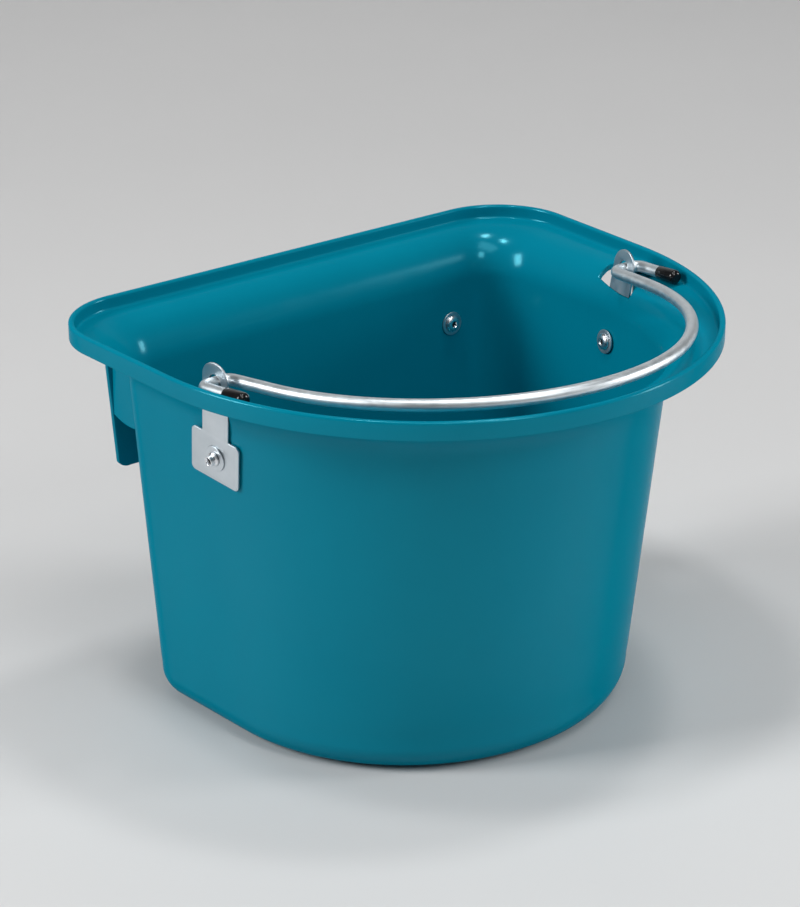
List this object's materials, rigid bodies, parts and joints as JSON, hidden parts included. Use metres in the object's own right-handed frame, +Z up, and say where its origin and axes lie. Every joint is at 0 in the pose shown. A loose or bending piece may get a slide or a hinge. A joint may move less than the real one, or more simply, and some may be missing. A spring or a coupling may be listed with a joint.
{
  "type": "feed bucket",
  "caption": "Flat-backed moulded feed bucket with a swinging wire bail on riveted ears and hook-over hooks on its back wall.",
  "frame": {"origin": "on the surface the bucket stands on, under the middle of its bounding box", "axes": "+Z up, +X along the flat back, +Y towards the flat back, so the round front faces -Y"},
  "size_m": [0.4, 0.3439, 0.2785],
  "materials": {
    "teal_plastic": "glossy moulded polypropylene",
    "zinc_wire": "zinc-plated drawn wire",
    "zinc_plate": "zinc-plated sheet steel",
    "rivet_metal": "satin",
    "mandrel_steel": "dull broken steel",
    "black_vinyl": "glossy dipped vinyl"
  },
  "bodies": {
    "root": {"tub": "teal_plastic", "bracket_left": "zinc_plate", "hook_left": "teal_plastic", "bracket_right": "zinc_plate", "hook_right": "teal_plastic", "rivet_side_left": "rivet_metal", "mandrel_side_left": "mandrel_steel", "washer_inner_side_left": "zinc_plate", "washer_outer_side_left": "zinc_plate", "rivet_side_right": "rivet_metal", "mandrel_side_right": "mandrel_steel", "washer_inner_side_right": "zinc_plate", "washer_outer_side_right": "zinc_plate", "rivet_hook_left": "rivet_metal", "mandrel_hook_left": "mandrel_steel", "washer_inner_hook_left": "zinc_plate", "washer_outer_hook_left": "zinc_plate", "rivet_hook_right": "rivet_metal", "mandrel_hook_right": "mandrel_steel", "washer_inner_hook_right": "zinc_plate", "washer_outer_hook_right": "zinc_plate"},
    "bail": {"bail": "zinc_wire", "cap_left": "black_vinyl", "cap_right": "black_vinyl"}
  },
  "joints": [
    {"name": "bail_pivot", "type": "hinge", "parent": "root", "child": "bail", "pos_m": [0, 0.0148, 0.2606], "axis": [-1, 0, 0], "range_deg": [0, 170.5]}
  ]
}
